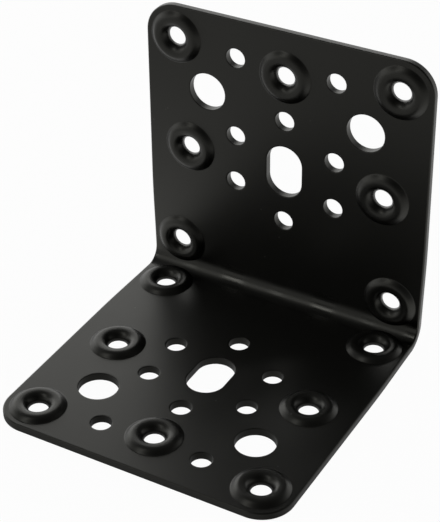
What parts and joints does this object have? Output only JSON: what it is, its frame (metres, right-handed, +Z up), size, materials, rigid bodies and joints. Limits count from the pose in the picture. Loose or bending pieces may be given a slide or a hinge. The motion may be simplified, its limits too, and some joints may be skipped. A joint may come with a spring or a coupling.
{
  "type": "perforated angle bracket",
  "caption": "Equal-leg angle bracket folded from one sheet, with plain round holes, larger bolt holes, a slot and pressed dimple screw holes on each leg.",
  "frame": {"origin": "middle of the footprint, on the lying leg's outer face", "axes": "+Z up along the upright leg, +Y from the lying leg's free end to the upright leg's back, +X along the fold"},
  "size_m": [0.08, 0.0812, 0.0812],
  "materials": {
    "black_powder_coat": "satin powder coat"
  },
  "bodies": {
    "root": {"perforated_angle_bracket": "black_powder_coat"}
  },
  "joints": []
}
